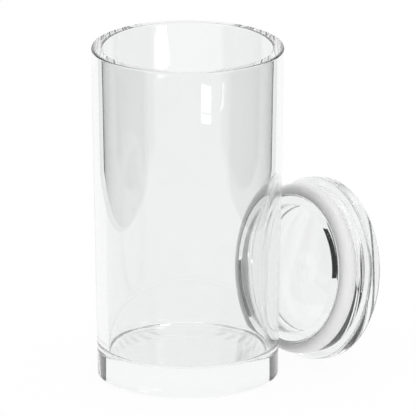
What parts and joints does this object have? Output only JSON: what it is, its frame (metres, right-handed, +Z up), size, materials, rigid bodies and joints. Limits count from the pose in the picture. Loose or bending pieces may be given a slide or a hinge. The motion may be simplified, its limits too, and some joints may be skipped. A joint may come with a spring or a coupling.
{
  "type": "acrylic canister",
  "caption": "Tall clear acrylic canister with a thick wall and a solid base; its round plug lid, with a milky gasket, is off and stands on edge beside it.",
  "frame": {"origin": "centre of the canister's flat foot, on the surface that it stands on", "axes": "+Z up along the canister's axis; the picture is taken from -Y, with the lid at +X and a little behind"},
  "size_m": [0.1529, 0.1211, 0.18],
  "materials": {
    "clear_acrylic": "polished water-clear acrylic",
    "lid_acrylic": "polished water-clear acrylic",
    "milky_silicone": "smooth milky translucent silicone"
  },
  "bodies": {
    "root": {"canister": "clear_acrylic", "lid": "lid_acrylic", "gasket": "milky_silicone"}
  },
  "joints": []
}
